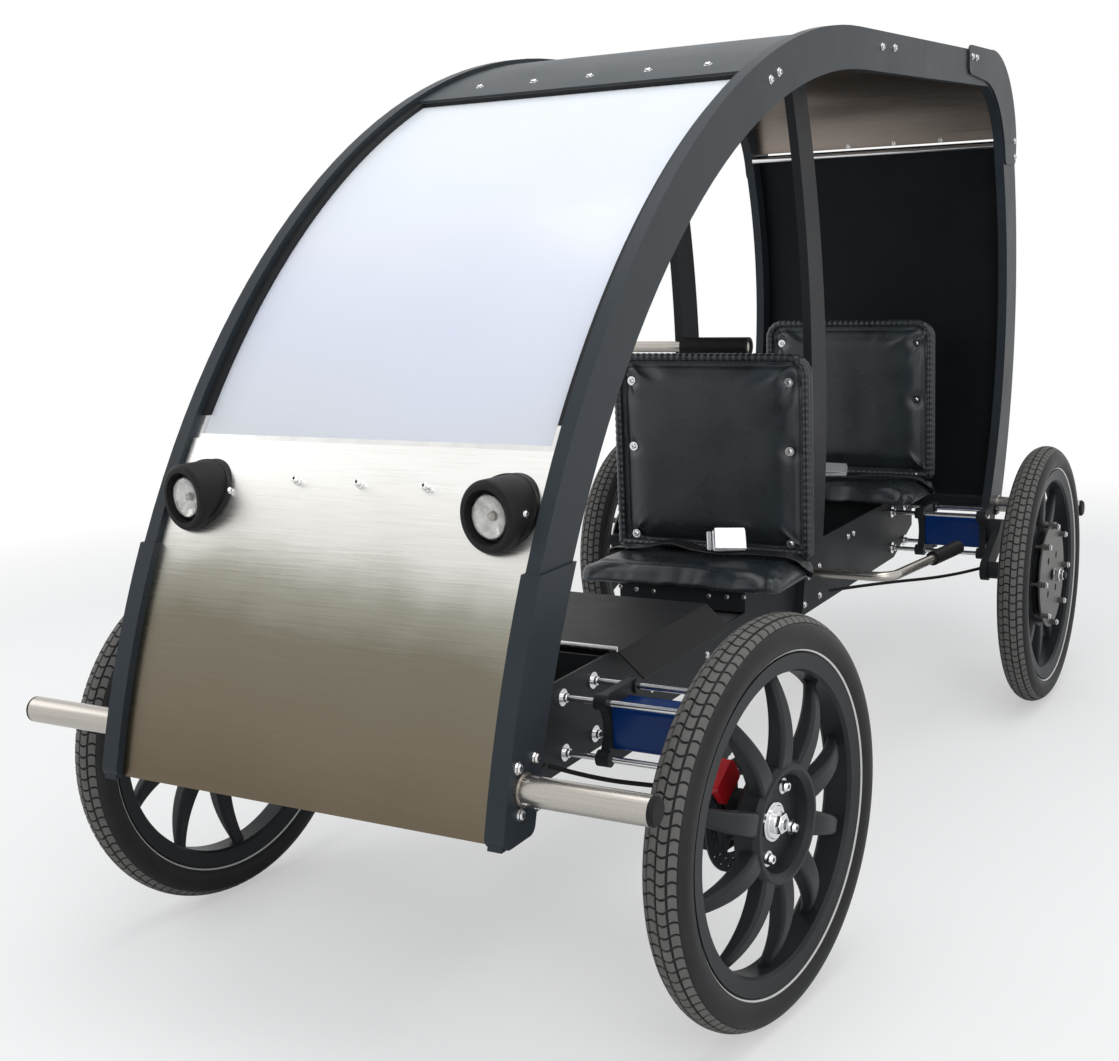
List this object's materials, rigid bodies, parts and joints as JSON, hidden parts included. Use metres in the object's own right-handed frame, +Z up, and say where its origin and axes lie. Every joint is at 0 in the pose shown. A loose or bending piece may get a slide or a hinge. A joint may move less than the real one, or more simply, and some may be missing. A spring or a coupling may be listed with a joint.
{
  "type": "electric quadricycle",
  "caption": "Open-sided tandem electric quadricycle with plank arches over a curved screen and roof, seats on a rail chassis, steered front wheels and hub-motor rear wheels.",
  "frame": {"origin": "on the ground at the middle of the vehicle's bounding box", "axes": "front faces -Y, the vehicle's left is +X, +Z is up"},
  "size_m": [1.2592, 2.7624, 1.6191],
  "materials": {
    "anthracite": "satin",
    "chassis_black": "matt",
    "panel_steel": "brushed",
    "tube_steel": "brushed",
    "bright": "polished",
    "screen": "clear",
    "lens": "clear",
    "black_rubber": "matt",
    "tyre": "matt",
    "vinyl": "semi gloss",
    "blue": "gloss",
    "wheel_black": "matt",
    "motor_grey": "satin",
    "red": "gloss",
    "battery_grey": "matt",
    "steel_dark": "satin"
  },
  "bodies": {
    "chassis": {"arch_left": "anthracite", "arch_right": "anthracite", "battery": "battery_grey", "brake_hoses": "black_rubber", "bumper_caps": "black_rubber", "chassis": "chassis_black", "floor_tray": "chassis_black", "front_bumper": "tube_steel", "front_panel": "panel_steel", "headlamp_bezels": "black_rubber", "headlamp_lenses": "lens", "lever_grips": "black_rubber", "levers": "tube_steel", "pillars": "chassis_black", "rear_brackets": "anthracite", "rear_bumper": "tube_steel", "rear_cross_tube": "bright", "rear_frame_left": "anthracite", "rear_frame_right": "anthracite", "rear_panel": "chassis_black", "rear_sill": "chassis_black", "rear_upper_panel": "panel_steel", "roof_panel": "anthracite", "screen_seal": "black_rubber", "seat_back_front": "vinyl", "seat_back_rear": "vinyl", "seat_base_front": "vinyl", "seat_base_rear": "vinyl", "seat_supports": "chassis_black", "spring_blocks": "blue", "suspension_rods": "bright", "suspension_yokes": "chassis_black", "swing_arms": "chassis_black", "windscreen": "screen"},
    "steer_left": {"caliper_front_left": "red", "knuckle_front_left": "chassis_black"},
    "steer_right": {"caliper_front_right": "red", "knuckle_front_right": "chassis_black"},
    "wheel_front_left": {"disc_front_left": "steel_dark", "rim_front_left": "wheel_black", "tyre_front_left": "tyre"},
    "wheel_front_right": {"disc_front_right": "steel_dark", "rim_front_right": "wheel_black", "tyre_front_right": "tyre"},
    "wheel_rear_left": {"motor_cover_rear_left": "motor_grey", "rim_rear_left": "wheel_black", "tyre_rear_left": "tyre"},
    "wheel_rear_right": {"motor_cover_rear_right": "motor_grey", "rim_rear_right": "wheel_black", "tyre_rear_right": "tyre"}
  },
  "joints": [
    {"name": "steering_left", "type": "hinge", "parent": "chassis", "child": "steer_left", "pos_m": [0.455, -0.92, 0.32], "axis": [0, 0, 1], "range_deg": [-21.5, 34.5]},
    {"name": "steering_right", "type": "hinge", "parent": "chassis", "child": "steer_right", "pos_m": [-0.455, -0.92, 0.32], "axis": [0, 0, 1], "range_deg": [-21.5, 34.5]},
    {"name": "roll_front_left", "type": "hinge", "parent": "steer_left", "child": "wheel_front_left", "pos_m": [0.56131, -0.93211, 0.32], "axis": [0.9936, -0.1132, 0], "continuous": true},
    {"name": "roll_front_right", "type": "hinge", "parent": "steer_right", "child": "wheel_front_right", "pos_m": [-0.56131, -0.90789, 0.32], "axis": [0.9936, -0.1132, 0], "continuous": true},
    {"name": "roll_rear_left", "type": "hinge", "parent": "chassis", "child": "wheel_rear_left", "pos_m": [0.562, 0.861, 0.32], "axis": [1, 0, 0], "continuous": true},
    {"name": "roll_rear_right", "type": "hinge", "parent": "chassis", "child": "wheel_rear_right", "pos_m": [-0.562, 0.861, 0.32], "axis": [1, 0, 0], "continuous": true}
  ],
  "couplings": [
    {"joint": "steering_right", "follows": "steering_left", "ratio": 1}
  ]
}
